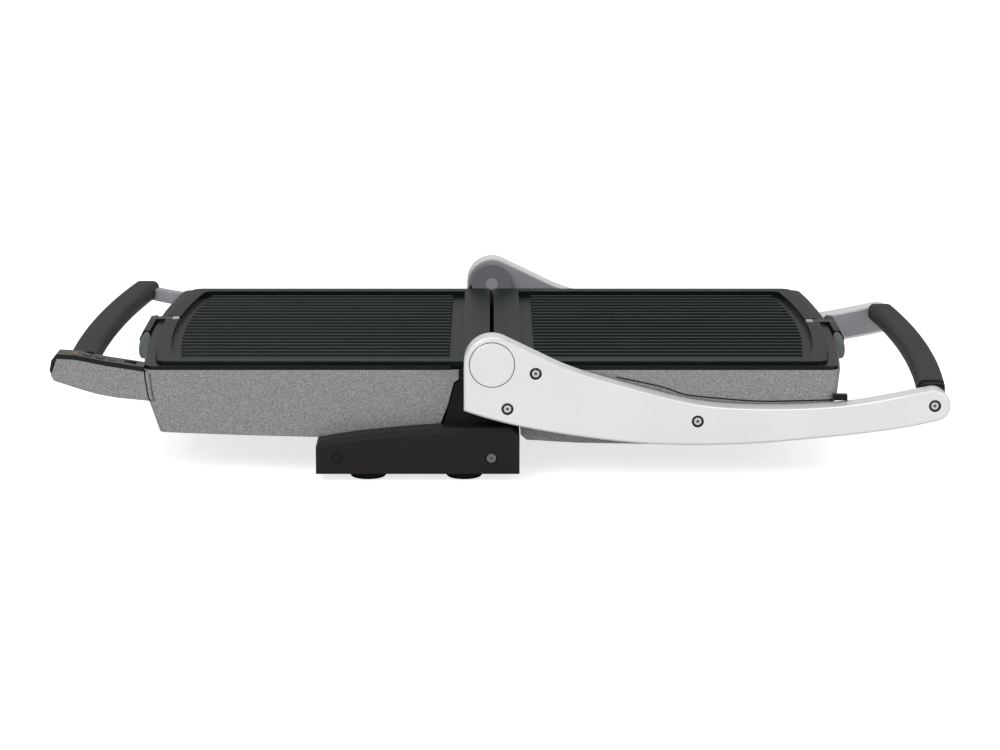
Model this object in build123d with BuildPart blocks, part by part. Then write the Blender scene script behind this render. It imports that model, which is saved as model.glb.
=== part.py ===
from build123d import *
from math import cos, radians, sin
import os

os.makedirs("parts", exist_ok=True)

# Frame: millimetres, +Z up, +X towards the free end of the lid, which lies open flat.
# Heights below are measured from the hinge axis, unless a name says otherwise.
hinge_x = -7.8
hinge_height = 86.0
lower = -1
upper = 1

# Grill plates
plate_half_width = 145.0
plate_rear = 1.5
plate_front_corner = 240.0
plate_front_bow = 10.0
rim_top = -3.0
plate_depth = 15.0
rim_width = 10.0
side_rim_width = 12.5
rear_rim_width = 20.0
pocket_depth = 4.0
plate_floor = 4.0
plate_skirt = 6.0
plate_corner = 8.0
ridge_count = 21
ridge_pitch = 12.2
ridge_width = 5.5
ridge_height = 2.4
ridge_flank_deg = 68.0
ridge_rear = 31.0
ridge_front_margin = 17.5
ridge_field_corner = 15.0
notch_depth = 1.6
notch_side_gap = 1.5
notch_overrun = 3.0

# Housings
housing_side_margin = 7.0
housing_front_margin = 9.0
housing_front_bow = 8.0
housing_corner = 5.0
housing_top = -8.0
housing_wall = 2.5
lower_rear = 23.6
upper_rear = 20.5
rear_seat_end = 40.0
boss_radius = 4.5
boss_x = 137.0
boss_spacing = 150.0
boss_side_inset = 35.0
boss_length = 60.0
housing_waist_height = -27.0
housing_waist_inset = 2.0
housing_foot_height = -63.0
housing_foot_inset = 14.0

# Rim frames
frame_margin = 6.3
frame_corner_extra = 1.5
frame_top = -5.4
frame_rear = 4.0
frame_ledge = 2.5
frame_ledge_width = 8.0
frame_fit = 0.3
frame_front_inset = 4.6
frame_post_gap = 5.0
frame_rear_length = 29.0
frame_relief_end = 33.0
frame_relief_depth = 1.0

# Heating
pan_thickness = 1.0
pan_margin = 3.0
pan_rear_gap = 6.0
pan_rib_width = 6.0
pan_rib_overhang = 15.0
pan_rib_x = (90.0, 180.0)
element_radius = 3.2
element_rear = 60.0
element_straight = 114.0
element_bend = 42.75
element_side_inset = 50.0
element_gap = 0.1
sensor_x = 135.0
sensor_length = 24.0
sensor_width = 16.0
sensor_height = 9.0
sensor_corner = 3.0

# Yoke arms: the outlines are stations along the arm, as shares of its length, and heights
arm_gap = 2.5
arm_thickness = 18.0
arm_wall = 2.5
arm_edge = 1.2
hub_radius = 20.0
tip_x = 314.6
tip_height = -29.8
tip_radius = 11.2
arm_top = [
    (0.140, 0.8), (0.2495, -11.6), (0.3687, -22.0), (0.4641, -29.0), (0.6103, -32.3), (0.8296, -28.6),
    (0.9936, -18.8),
]
arm_tip_direction = (1.0, 0.19)
arm_bottom = [
    (1.0083, -40.8), (0.9091, -47.0), (0.7247, -53.7), (0.6103, -56.9), (0.4927, -58.3), (0.3497, -57.4),
    (0.1875, -51.7), (0.062, -44.8),
]
arm_heel = -33.6
hub_shoulder_deg = 64.0
cover_thickness = 2.0
cover_margin = 1.8
screw_boss_radius = 7.5
hub_boss_radius = 12.5
hinge_pin_radius = 5.0
pin_end_gap = 1.0
bore_end = 0.5
tilt_pin_radius = 4.0
tilt_collar_radius = 7.5
tilt_x = 146.3
tilt_height = -41.0
running_clearance = 0.06
hub_cap_radius = 15.8
hub_cap_thickness = 1.0
hub_cap_edge = 0.6
screw_recess_radius = 4.25
screw_recess_depth = 1.8
screw_head_radius = 2.65
screw_head_sink = 0.4
arm_screw_front = (31.0, -6.4)
arm_screw_heel = (11.0, -32.0)

# Hinge posts
post_gap = 2.0
post_thickness = 6.0
post_radius = 16.0
washer_radius = 13.0
washer_gap = 0.25

# Pedestal
pedestal_top = -47.0
base_side_inset = 2.5
base_left = -125.7
base_left_top = -60.5
base_right = 19.7
base_right_top = -53.5
base_shoulder = 13.0
base_wall = 3.0
base_edge = 3.5
foot_height = 6.0
foot_radius = 13.0
foot_edge = 2.0
foot_x = (-89.0, -20.0)
foot_side_inset = 20.0
base_plate_thickness = 6.0
base_plate_gap = 0.2
base_boss_radius = 7.0
side_hole_place = (-110.5, 17.7)
side_screw_place = (-0.4, 17.4)
side_screw_radius = 3.45
side_screw_height = 1.2
plate_screw_x = -55.0
plate_screw_side_inset = 60.0
plate_screw_radius = 4.0
plate_screw_height = 2.2
plate_screw_edge = 1.0

# Power inlet and terminals
inlet_y = 80.0
inlet_height = 22.0
inlet_width = 28.0
inlet_depth = 18.5
inlet_length = 20.0
inlet_fit = 0.1
inlet_wall = 2.5
inlet_floor = 3.0
inlet_corner = 2.0
blade_width = 1.8
blade_height = 4.0
blade_length = 12.0
blade_spacing = 7.0
blade_offset = 2.0
terminal_x = -20.0
terminal_y = 60.0
terminal_length = 18.0
terminal_width = 34.0
terminal_height = 14.0
clamp_hole_radius = 2.0
clamp_hole_depth = 9.0
clamp_hole_spacing = (9.0, 11.0)

# Grips
grip_width = 20.0
grip_depth = 14.0
grip_round = 5.0
upper_grip_lead = 10.4
upper_grip_bow = 7.0
upper_grip_top = -16.0
lower_grip_reach = 39.5
lower_grip_bow = 7.0
lower_grip_skew = 7.0
lower_grip_top = 2.0
bar_width = 11.0
bar_depth = 9.0
bar_side_inset = 1.5
bar_pod_overlap = 4.5
collar_length = 7.5
collar_gap = 0.1
collar_inset = 1.25
collar_lead = 0.3
collar_corner = 4.0
leg_knee = (3.0, -5.0)
leg_root = (-17.0, -8.2)
leg_depth = 9.5
leg_overlap = 2.0

# Control pod: its outlines are distances past the housing's front corner, and heights
pod_width = 18.0
pod_wall = 2.2
pod_lip = 1.0
pod_root = -9.0
pod_root_drop = 2.0
pod_bottom = [(66.3, -12.6), (64.2, -15.9), (47.7, -21.4), (34.1, -25.5), (19.7, -28.2), (pod_root, -31.0)]
pod_mouth_place = (29.0, -7.0)
pod_mouth_length = 44.0
pod_mouth_height = 12.0
pod_mouth_tilt_deg = 10.5
deck_thickness = 3.4
deck_nose_inset = 1.5
deck_nose = [(67.4, -8.4), (66.0, -1.0), (62.0, 3.6)]
deck_rise = [(49.0, 2.9), (27.0, -1.6), (0.0, -5.8)]
button_radius = 3.4
button_travel = 0.8
button_gap = 0.25
button_proud = 0.4
button_edge = 0.3
button_places = (23.0, 32.0, 41.0)
window_place = 9.0
window_length = 12.0
window_width = 9.0
window_corner = 1.0
window_thickness = 1.6
lamp_place = 50.0
lamp_radius = 1.8
cut_overrun = 1.0
board_place = (20.0, -16.0)
board_length = 26.0
board_height = 10.0
board_thickness = 1.6

# Stop tabs of the floating unit
tab_reach = 6.0
tab_length = 10.0
tab_front_inset = -5.0
tab_top = -24.9
tab_bottom = -28.9

# Plate release latches
latch_half_width = 30.0
latch_gap = 0.5
latch_cheek = 3.2
latch_projection = 8.5
latch_top = -3.2
latch_bottom = -29.0
latch_pivot_out = 3.1
latch_pivot_height = -15.0
latch_pin_radius = 1.5
latch_root = 20.0
latch_bevel = 8.0
cheek_drop = 0.5
cheek_inset = 1.0
cheek_shoulder = 7.0
lever_gap = 0.7
lever_foot_gap = 1.5
lever_foot_rise = 2.0
lever_foot_bevel = 3.0
lip_depth = 3.0
lip_start = 6.0
lip_height = 3.0
lever_edge = 1.2
cap_rise = 1.4
cap_lead = 1.0
cap_radii = (4.2, 10.2)
cap_lean_deg = 12.0
cap_thickness = 1.6
cap_edge = 0.7
clip_thickness = 1.2
clip_width = 11.0
clip_hook = 9.5
clip_root = 5.0
clip_corner = 1.5
lower_clip_y = 22.0
upper_clip_y = 10.0

# Derived places
plate_front_middle = plate_front_corner + plate_front_bow
housing_half_width = plate_half_width + housing_side_margin
housing_front_corner = plate_front_corner + housing_front_margin
housing_front_middle = housing_front_corner + housing_front_bow
past_front = housing_front_middle + rim_width
ground = -hinge_height
plate_bottom = rim_top - plate_depth
floor_top = rim_top - pocket_depth
floor_bottom = floor_top - plate_floor
ledge_bottom = plate_bottom - frame_ledge
pan_top = ledge_bottom
pan_bottom = pan_top - pan_thickness
element_height = floor_bottom - element_radius - element_gap
element_half_width = plate_half_width - element_side_inset
pan_rib_top = element_height - element_radius
base_bottom = ground + foot_height
arm_inner = housing_half_width + arm_gap
arm_outer = arm_inner + arm_thickness
pin_end = arm_outer - arm_wall - pin_end_gap
base_half_width = arm_outer - base_side_inset
foot_y = base_half_width - foot_side_inset
post_inner = plate_half_width + post_gap
frame_rear_half_width = post_inner - frame_post_gap
latch_reach = housing_front_middle + latch_projection
latch_pivot_x = housing_front_middle + latch_pivot_out
upper_grip_outer = tip_x + upper_grip_lead
upper_grip_half_length = arm_inner - collar_length
lower_grip_outer = housing_front_middle + lower_grip_reach
pod_near = -housing_half_width
pod_far = pod_near + pod_width
lower_grip_near = pod_far
lower_grip_far = housing_half_width
bar_outer = housing_half_width - bar_side_inset
bar_near = pod_far - bar_pod_overlap
screw_places = [arm_screw_front, arm_screw_heel, (tilt_x, tilt_height), (tip_x, tip_height)]

# Side outlines, as distances from the hinge axis towards the front and heights
seat_line = [(38.0, pedestal_top), (61.0, -48.8), (94.0, -52.0), (122.8, -56.5)]
lower_outline = [
    (lower_rear, housing_top), (lower_rear, -14.7), (27.2, -17.0), (31.5, -33.4), (36.8, pedestal_top),
    *seat_line, (126.0, -57.0), (180.0, -55.6), (238.8, -53.3), (past_front, -53.3),
    (past_front, housing_top),
]
upper_outline = [
    (upper_rear, housing_top), (upper_rear, -55.0), (24.5, -59.0), (60.0, -61.2), (142.0, -62.7),
    (200.0, -60.5), (231.0, -56.0), (past_front, -51.0), (past_front, housing_top),
]
base_outline = [
    (base_left, base_bottom), (base_left, base_left_top), *[(-x, z) for x, z in seat_line[::-1]],
    (base_shoulder, pedestal_top), (base_right, base_right_top), (base_right, base_bottom),
]
post_outline = [
    (-post_radius, 0), (-22.8, -9.0), (-22.8, -15.5), (-26.4, -18.0), (-30.7, -34.0),
    (-34.6, pedestal_top), (base_shoulder, pedestal_top), (post_radius, 0),
]


def side_plane(y):
    """A side view at y: sketch x runs along +X from the hinge, sketch y runs up, and depth runs to -Y."""
    return Plane(origin=(hinge_x, y, hinge_height), x_dir=(1, 0, 0), z_dir=(0, -1, 0))


def level_plane(height):
    """A plan view at a height above the hinge axis."""
    return Plane(origin=(hinge_x, 0, hinge_height + height), x_dir=(1, 0, 0), z_dir=(0, 0, 1))


def save(piece, name):
    """Name a finished piece and write it."""
    piece.label = name
    export_step(piece, f"parts/{name}.step")


def plan_outline(unit, height, rear, half_width, corner, middle, radius=0.0):
    """Sketch a unit's plan: straight sides and a bowed front."""
    with BuildSketch(level_plane(height)) as outline:
        with BuildLine():
            Polyline(
                (unit * corner, -half_width), (unit * rear, -half_width),
                (unit * rear, half_width), (unit * corner, half_width),
            )
            ThreePointArc((unit * corner, half_width), (unit * middle, 0), (unit * corner, -half_width))
        make_face()
        if radius:
            front_corners = sorted(vertices(), key=lambda v: -abs(v.X - hinge_x))[:2]
            fillet(front_corners, radius)
    return outline.sketch


def plate_plan(unit, height, inset, rear_inset=None, side_inset=None, radius=0.0):
    """Sketch the plate's plan, drawn in by an inset."""
    rear_step = inset if rear_inset is None else rear_inset
    side_step = inset if side_inset is None else side_inset
    return plan_outline(
        unit, height, plate_rear + rear_step, plate_half_width - side_step,
        plate_front_corner - inset, plate_front_middle - inset, radius,
    )


def housing_sections(unit, rear, inset, radius):
    """Plans of a housing at its top, waist and foot: the front leans in towards the foot."""
    levels = [
        (housing_top, 0.0), (housing_waist_height, housing_waist_inset),
        (housing_foot_height, housing_foot_inset),
    ]
    return [
        plan_outline(
            unit, height, rear + inset, housing_half_width - inset, housing_front_corner - lean - inset,
            housing_front_middle - lean - inset, radius,
        )
        for height, lean in levels
    ]


def housing_block(unit, outline, rear):
    """The outer shape of a unit's housing, solid."""
    with BuildPart() as block:
        loft(housing_sections(unit, rear, 0.0, housing_corner), ruled=True)
        with BuildSketch(side_plane(housing_half_width)):
            with BuildLine():
                Polyline([(unit * x, z) for x, z in outline], close=True)
            make_face()
        extrude(amount=2 * housing_half_width, mode=Mode.INTERSECT)
    return block.part


def housing_cavity(unit, outline, rear):
    """The space inside a housing, open at the top."""
    with BuildPart() as cavity:
        loft(housing_sections(unit, rear, housing_wall, housing_corner / 2), ruled=True)
        with BuildSketch(side_plane(housing_half_width)):
            with BuildLine():
                Polyline([(unit * x, z) for x, z in outline], close=True)
            make_face()
            offset(amount=-housing_wall, kind=Kind.INTERSECTION)
            inner_rear = outline[0][0] + housing_wall
            inner_length = housing_front_middle - inner_rear
            with Locations((unit * (inner_rear + inner_length / 2), housing_top)):
                Rectangle(inner_length, 4 * housing_wall)
        extrude(amount=2 * housing_half_width, mode=Mode.INTERSECT)
    return cavity.part


def make_housing(unit, block, cavity, name):
    """A housing with four bosses that carry the reflector pan."""
    with BuildPart() as housing:
        add(block)
        add(cavity, mode=Mode.SUBTRACT)
        with BuildSketch(level_plane(housing_top)):
            Rectangle(2 * rear_seat_end, 2 * (housing_half_width - housing_wall))
        extrude(amount=ledge_bottom - housing_top, mode=Mode.SUBTRACT)
        with BuildSketch(level_plane(pan_bottom)):
            with Locations((unit * boss_x, 0)):
                with GridLocations(boss_spacing, 2 * (plate_half_width - boss_side_inset), 2, 2):
                    Circle(boss_radius)
        extrude(amount=-boss_length)
        add(cavity_rest(block), mode=Mode.SUBTRACT)
    save(housing.part, name)


def cavity_rest(block):
    """Everything below a housing, to trim its bosses flush with its floor."""
    with BuildPart() as rest:
        box = block.bounding_box()
        with BuildSketch(Plane.XY.offset(box.min.Z - boss_length)):
            with Locations((box.center().X, 0)):
                Rectangle(2 * box.size.X, 2 * box.size.Y)
        extrude(amount=boss_length + box.size.Z / 2)
        add(block, mode=Mode.SUBTRACT)
    return rest.part


def make_plate(unit, clip_y, name):
    """A cast grill plate: rim, sunk field with ridges, hollow underside and a notch for the clip."""
    with BuildPart() as plate:
        extrude(plate_plan(unit, plate_bottom, 0.0, radius=plate_corner), amount=plate_depth)
        field = plate_plan(unit, floor_top, rim_width, rear_rim_width, side_rim_width, radius=plate_corner)
        extrude(field, amount=pocket_depth, mode=Mode.SUBTRACT)
        hollow = plate_plan(unit, plate_bottom, plate_skirt, radius=plate_corner / 2)
        extrude(hollow, amount=floor_bottom - plate_bottom, mode=Mode.SUBTRACT)
        with BuildSketch(level_plane(rim_top)):
            with Locations((unit * (plate_front_middle - rim_width / 2), clip_y)):
                Rectangle(rim_width + 2 * notch_overrun, clip_width + 2 * notch_side_gap)
        extrude(amount=-notch_depth, mode=Mode.SUBTRACT)
    with BuildPart() as ridges:
        ridge_start = (hinge_x + unit * ridge_rear, 0, hinge_height + floor_top)
        with BuildSketch(Plane(origin=ridge_start, x_dir=(0, 1, 0), z_dir=(1, 0, 0))):
            with GridLocations(ridge_pitch, 1.0, ridge_count, 1):
                with Locations((0, ridge_height / 2)):
                    Trapezoid(ridge_width, ridge_height, ridge_flank_deg)
        extrude(amount=unit * plate_front_middle)
        ridge_field = plate_plan(
            unit, floor_top, ridge_front_margin, ridge_rear - plate_rear, side_rim_width,
            radius=ridge_field_corner,
        )
        extrude(ridge_field, amount=ridge_height, mode=Mode.INTERSECT)
    with BuildPart() as whole:
        add(plate.part)
        add(ridges.part)
    save(whole.part, name)


def make_frame(unit, name):
    """The black frame round a plate: a flange on the housing wall and a ledge under the plate."""
    with BuildPart() as frame:
        extrude(plan_outline(
            unit, housing_top, frame_rear, plate_half_width + frame_margin,
            plate_front_corner + frame_margin + frame_corner_extra, plate_front_middle + frame_margin,
            plate_corner,
        ), amount=frame_top - housing_top)
        extrude(plan_outline(
            unit, ledge_bottom, frame_rear, housing_half_width - housing_wall - frame_fit,
            housing_front_corner - frame_front_inset, housing_front_middle - frame_front_inset,
            housing_corner / 2,
        ), amount=housing_top - ledge_bottom)
        extrude(plan_outline(
            unit, ledge_bottom, 0, plate_half_width - frame_ledge_width,
            plate_front_corner - frame_ledge_width, plate_front_middle - frame_ledge_width, plate_corner,
        ), amount=frame_top - ledge_bottom, mode=Mode.SUBTRACT)
        extrude(plan_outline(
            unit, plate_bottom, 0, plate_half_width + frame_fit,
            plate_front_corner + frame_fit, plate_front_middle + frame_fit, plate_corner,
        ), amount=plate_depth, mode=Mode.SUBTRACT)
        with BuildSketch(level_plane(ledge_bottom)):
            with Locations((0, housing_half_width), (0, -housing_half_width)):
                Rectangle(2 * frame_rear_length, 2 * (housing_half_width - frame_rear_half_width))
        extrude(amount=plate_depth + frame_ledge, mode=Mode.SUBTRACT)
        with BuildSketch(side_plane(housing_half_width)):
            with Locations((0, ledge_bottom)):
                Rectangle(2 * frame_relief_end, 2 * frame_relief_depth)
        extrude(amount=2 * housing_half_width, mode=Mode.SUBTRACT)
    save(frame.part, name)
    return frame.part


def make_pan(unit, name):
    """The sheet reflector under a plate, with two raised ribs that carry the element."""
    with BuildPart() as pan:
        extrude(plate_plan(unit, pan_bottom, pan_margin, lower_rear + pan_rear_gap), amount=pan_thickness)
        with BuildSketch(level_plane(pan_top)):
            with Locations([(unit * x, 0) for x in pan_rib_x]):
                Rectangle(pan_rib_width, 2 * (element_half_width + pan_rib_overhang))
        extrude(amount=pan_rib_top - pan_top)
    save(pan.part, name)


def make_element(unit, name):
    """A heating rod bent into a U under the plate."""
    with BuildPart() as element:
        with BuildLine(level_plane(element_height)) as route:
            front = unit * (element_rear + element_straight + element_bend)
            Polyline(
                (unit * element_rear, -element_half_width), (front, -element_half_width),
                (front, element_half_width), (unit * element_rear, element_half_width),
            )
            fillet(vertices().sort_by(lambda v: -abs(v.X - hinge_x))[:2], element_bend)
        with BuildSketch(Plane(origin=route.line @ 0, z_dir=route.line % 0)):
            Circle(element_radius)
        sweep()
    save(element.part, name)


def make_latch(unit, block, clip_y, prefix):
    """A front latch: bracket with two cheeks, oval end caps, lever, spring clip and pin."""
    cheek = [
        (housing_front_middle - latch_root, housing_top - cheek_drop),
        (latch_reach - latch_bevel, housing_top - cheek_drop),
        (latch_reach - cheek_inset, housing_top - cheek_shoulder),
        (latch_reach - cheek_inset, latch_bottom + latch_bevel),
        (latch_reach - latch_bevel, latch_bottom), (housing_front_middle - latch_root, latch_bottom),
    ]
    lever = [
        (housing_front_middle + lever_gap, latch_top), (latch_reach - lip_depth, latch_top),
        (latch_reach, latch_top - lip_start), (latch_reach, latch_top - lip_start - lip_height),
        (latch_reach - lip_depth, latch_top - lip_start - 2 * lip_height),
        (latch_reach - lip_depth, latch_bottom + lever_foot_rise + lever_foot_bevel),
        (latch_reach - lip_depth - lever_foot_bevel, latch_bottom + lever_foot_rise),
        (housing_front_middle + lever_foot_gap, latch_bottom + lever_foot_rise),
    ]
    inner = latch_half_width + latch_gap
    outer = inner + latch_cheek
    with BuildPart() as bracket:
        with BuildSketch(side_plane(outer)):
            with BuildLine():
                Polyline([(unit * x, z) for x, z in cheek], close=True)
            make_face()
        extrude(amount=latch_cheek)
        mirror(about=Plane.XZ)
        with BuildSketch(side_plane(outer)):
            with Locations((unit * latch_pivot_x, latch_pivot_height)):
                Circle(latch_pin_radius)
        extrude(amount=2 * outer, mode=Mode.SUBTRACT)
        add(block, mode=Mode.SUBTRACT)
    save(bracket.part, f"{prefix}_latch_bracket")

    with BuildPart() as caps:
        with BuildSketch(side_plane(outer + cap_thickness)):
            with Locations((unit * (latch_pivot_x + cap_lead), latch_pivot_height + cap_rise)):
                Ellipse(*cap_radii, rotation=unit * cap_lean_deg)
        extrude(amount=cap_thickness)
        fillet(faces().sort_by(Axis.Y)[-1].edges(), cap_edge)
        add(block, mode=Mode.SUBTRACT)
        mirror(about=Plane.XZ)
    save(caps.part, f"{prefix}_latch_caps")

    with BuildPart() as pin:
        with BuildSketch(side_plane(outer)):
            with Locations((unit * latch_pivot_x, latch_pivot_height)):
                Circle(latch_pin_radius)
        extrude(amount=2 * outer)
    save(pin.part, f"{prefix}_latch_pin")

    with BuildPart() as body:
        with BuildSketch(side_plane(latch_half_width)):
            with BuildLine():
                Polyline([(unit * x, z) for x, z in lever], close=True)
            make_face()
        extrude(amount=2 * latch_half_width)
        fillet(edges().filter_by(Axis.Y).group_by(Axis.X)[-1 if unit == upper else 0], lever_edge)
        with BuildSketch(side_plane(latch_half_width)):
            with Locations((unit * latch_pivot_x, latch_pivot_height)):
                Circle(latch_pin_radius + running_clearance)
        extrude(amount=2 * latch_half_width, mode=Mode.SUBTRACT)
        with BuildSketch(level_plane(latch_top)):
            with Locations((unit * (housing_front_middle + clip_root / 2), clip_y)):
                Rectangle(clip_root, clip_width)
        extrude(amount=-clip_thickness, mode=Mode.SUBTRACT)
    save(body.part, f"{prefix}_latch_lever")

    clip_start = plate_front_middle - clip_hook
    clip_end = housing_front_middle + clip_root
    with BuildPart() as clip:
        with BuildSketch(level_plane(latch_top)):
            with Locations((unit * (clip_start + clip_end) / 2, clip_y)):
                Rectangle(clip_end - clip_start, clip_width)
        extrude(amount=-clip_thickness)
        fillet(edges().filter_by(Axis.Z), clip_corner)
    save(clip.part, f"{prefix}_latch_clip")


def make_unit(unit, outline, rear, clip_y, prefix):
    """One heated half of the grill. The lower half's housing and frame shape what is fitted to them."""
    block = housing_block(unit, outline, rear)
    cavity = housing_cavity(unit, outline, rear)
    make_housing(unit, block, cavity, f"{prefix}_housing")
    make_plate(unit, clip_y, f"{prefix}_grill_plate")
    frame = make_frame(unit, f"{prefix}_rim_frame")
    make_pan(unit, f"{prefix}_reflector")
    make_element(unit, f"{prefix}_heating_element")
    make_latch(unit, block, clip_y, prefix)
    return block, frame


lower_block, lower_frame = make_unit(lower, lower_outline, lower_rear, lower_clip_y, "lower")
make_unit(upper, upper_outline, upper_rear, upper_clip_y, "upper")

# Pedestal
def inlet_plane(depth=0.0):
    """The plane of the inlet's mouth in the pedestal's end, or one at a depth behind it."""
    origin = (hinge_x + base_right - depth, inlet_y, inlet_height)
    return Plane(origin=origin, x_dir=(0, 1, 0), z_dir=(1, 0, 0))


with BuildPart() as base_bosses:
    with BuildSketch(level_plane(base_bottom + base_plate_thickness)):
        with Locations([(x, y) for x in foot_x for y in (-foot_y, foot_y)]):
            Circle(base_boss_radius)
    extrude(amount=hinge_height)
    with BuildSketch(side_plane(base_half_width - base_wall)):
        with BuildLine():
            Polyline(base_outline, close=True)
        make_face()
    extrude(amount=2 * (base_half_width - base_wall), mode=Mode.INTERSECT)

with BuildPart() as base_shell:
    with BuildSketch(side_plane(base_half_width)):
        with BuildLine():
            Polyline(base_outline, close=True)
        make_face()
    extrude(amount=2 * base_half_width)
    rim = (faces().sort_by(Axis.Y)[0] + faces().sort_by(Axis.Y)[-1]).edges()
    top_edges = rim.filter_by(lambda e: e.center().Z > hinge_height + base_left_top + base_edge)
    chamfer(top_edges.filter_by(lambda e: e.center().X < hinge_x + base_shoulder), base_edge)
    with BuildSketch(side_plane(base_half_width - base_wall)):
        with BuildLine():
            Polyline(base_outline, close=True)
        make_face()
        offset(amount=-base_wall, kind=Kind.INTERSECTION)
        with Locations(((base_left + base_right) / 2, base_bottom)):
            Rectangle(base_right - base_left - 2 * base_wall, 3 * base_wall)
    extrude(amount=2 * (base_half_width - base_wall), mode=Mode.SUBTRACT)
    add(base_bosses.part)
    for side in (-1, 1):
        with BuildSketch(side_plane(side * base_half_width)):
            with Locations([(x, ground + z) for x, z in (side_hole_place, side_screw_place)]):
                Circle(screw_recess_radius)
        extrude(amount=side * screw_recess_depth, mode=Mode.SUBTRACT)
    with BuildSketch(inlet_plane()):
        RectangleRounded(inlet_width, inlet_depth, inlet_corner)
    extrude(amount=-2 * base_wall, mode=Mode.SUBTRACT)
save(base_shell.part, "base_shell")

with BuildPart() as base_plate:
    with BuildSketch(level_plane(base_bottom)):
        with Locations(((base_left + base_right) / 2, 0)):
            Rectangle(
                base_right - base_left - 2 * (base_wall + base_plate_gap),
                2 * (base_half_width - base_wall - base_plate_gap),
            )
    extrude(amount=base_plate_thickness)
save(base_plate.part, "base_plate")

with BuildPart() as feet:
    with BuildSketch(level_plane(base_bottom)):
        with Locations([(x, y) for x in foot_x for y in (-foot_y, foot_y)]):
            Circle(foot_radius)
    extrude(amount=-foot_height)
    fillet(edges().group_by(Axis.Z)[0], foot_edge)
save(feet.part, "rubber_feet")

with BuildPart() as base_screws:
    with BuildSketch(level_plane(base_bottom)):
        with GridLocations(0, 2 * (base_half_width - plate_screw_side_inset), 1, 2):
            with Locations((plate_screw_x, 0)):
                Circle(plate_screw_radius)
    extrude(amount=-plate_screw_height)
    fillet(edges().group_by(Axis.Z)[0], plate_screw_edge)
save(base_screws.part, "base_screws")

with BuildPart() as base_side_screws:
    with BuildSketch(side_plane(base_half_width - screw_recess_depth + side_screw_height)):
        with Locations((side_screw_place[0], ground + side_screw_place[1])):
            Circle(side_screw_radius)
    extrude(amount=side_screw_height)
    mirror(about=Plane.XZ)
save(base_side_screws.part, "base_side_screws")

with BuildPart() as inlet:
    with BuildSketch(inlet_plane()):
        RectangleRounded(inlet_width - 2 * inlet_fit, inlet_depth - 2 * inlet_fit, inlet_corner)
    extrude(amount=-inlet_length)
    with BuildSketch(inlet_plane()):
        RectangleRounded(inlet_width - 2 * inlet_wall, inlet_depth - 2 * inlet_wall, inlet_corner)
    extrude(amount=-(inlet_length - inlet_floor), mode=Mode.SUBTRACT)
save(inlet.part, "power_inlet")

with BuildPart() as blades:
    with BuildSketch(inlet_plane(inlet_length - inlet_floor)):
        with Locations((-blade_spacing, -blade_offset), (0, blade_offset), (blade_spacing, -blade_offset)):
            Rectangle(blade_width, blade_height)
    extrude(amount=blade_length)
save(blades.part, "inlet_blades")

with BuildPart() as terminals:
    with BuildSketch(level_plane(base_bottom + base_plate_thickness)):
        with Locations((terminal_x, terminal_y)):
            Rectangle(terminal_length, terminal_width)
    extrude(amount=terminal_height)
    with BuildSketch(level_plane(base_bottom + base_plate_thickness + terminal_height)):
        with Locations((terminal_x, terminal_y)):
            with GridLocations(*clamp_hole_spacing, 2, 3):
                Circle(clamp_hole_radius)
    extrude(amount=-clamp_hole_depth, mode=Mode.SUBTRACT)
save(terminals.part, "terminal_block")


# Hinge
def make_post(side, name):
    """One black hinge post, from the pedestal up to the axis."""
    with BuildPart() as post:
        with BuildSketch(side_plane(side * post_inner)):
            Circle(post_radius)
            with BuildLine():
                Polyline(post_outline, close=True)
            make_face()
            Circle(hinge_pin_radius, mode=Mode.SUBTRACT)
        extrude(amount=-side * post_thickness)
    save(post.part, name)


def make_hinge_side(side, word):
    """Pin and washer on one side of the hinge."""
    with BuildPart() as pin:
        with BuildSketch(side_plane(side * post_inner)):
            Circle(hinge_pin_radius)
        extrude(amount=-side * (pin_end - post_inner))
    save(pin.part, f"hinge_pin_{word}")
    with BuildPart() as washer:
        with BuildSketch(side_plane(side * (post_inner + post_thickness))):
            Circle(washer_radius)
            Circle(hinge_pin_radius, mode=Mode.SUBTRACT)
        extrude(amount=-side * (arm_inner - post_inner - post_thickness - washer_gap))
    save(washer.part, f"hinge_washer_{word}")


def arm_face(inset=0.0):
    """Sketch an arm's side face, drawn in by an inset."""
    radius = hub_radius - inset
    top = [(share * tip_x, z - inset) for share, z in arm_top]
    bottom = [(share * tip_x, z + inset) for share, z in arm_bottom] + [(-radius, arm_heel + inset)]
    hub_points = [
        (radius * cos(radians(angle)), radius * sin(radians(angle)))
        for angle in (180.0, (180.0 + hub_shoulder_deg) / 2, hub_shoulder_deg)
    ]
    shoulder = hub_points[-1]
    with BuildSketch() as face:
        with BuildLine():
            ThreePointArc(*hub_points)
            Line(shoulder, top[0])
            Spline(*top, tangents=[(top[0][0] - shoulder[0], top[0][1] - shoulder[1]), arm_tip_direction])
            ThreePointArc(top[-1], (tip_x + tip_radius - inset, tip_height), bottom[0])
            Spline(*bottom)
            Line(bottom[-1], hub_points[0])
        make_face()
    return face.sketch


def placed(sketch, y):
    """Stand a flat sketch up as a side view at y."""
    return side_plane(y) * sketch


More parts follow.
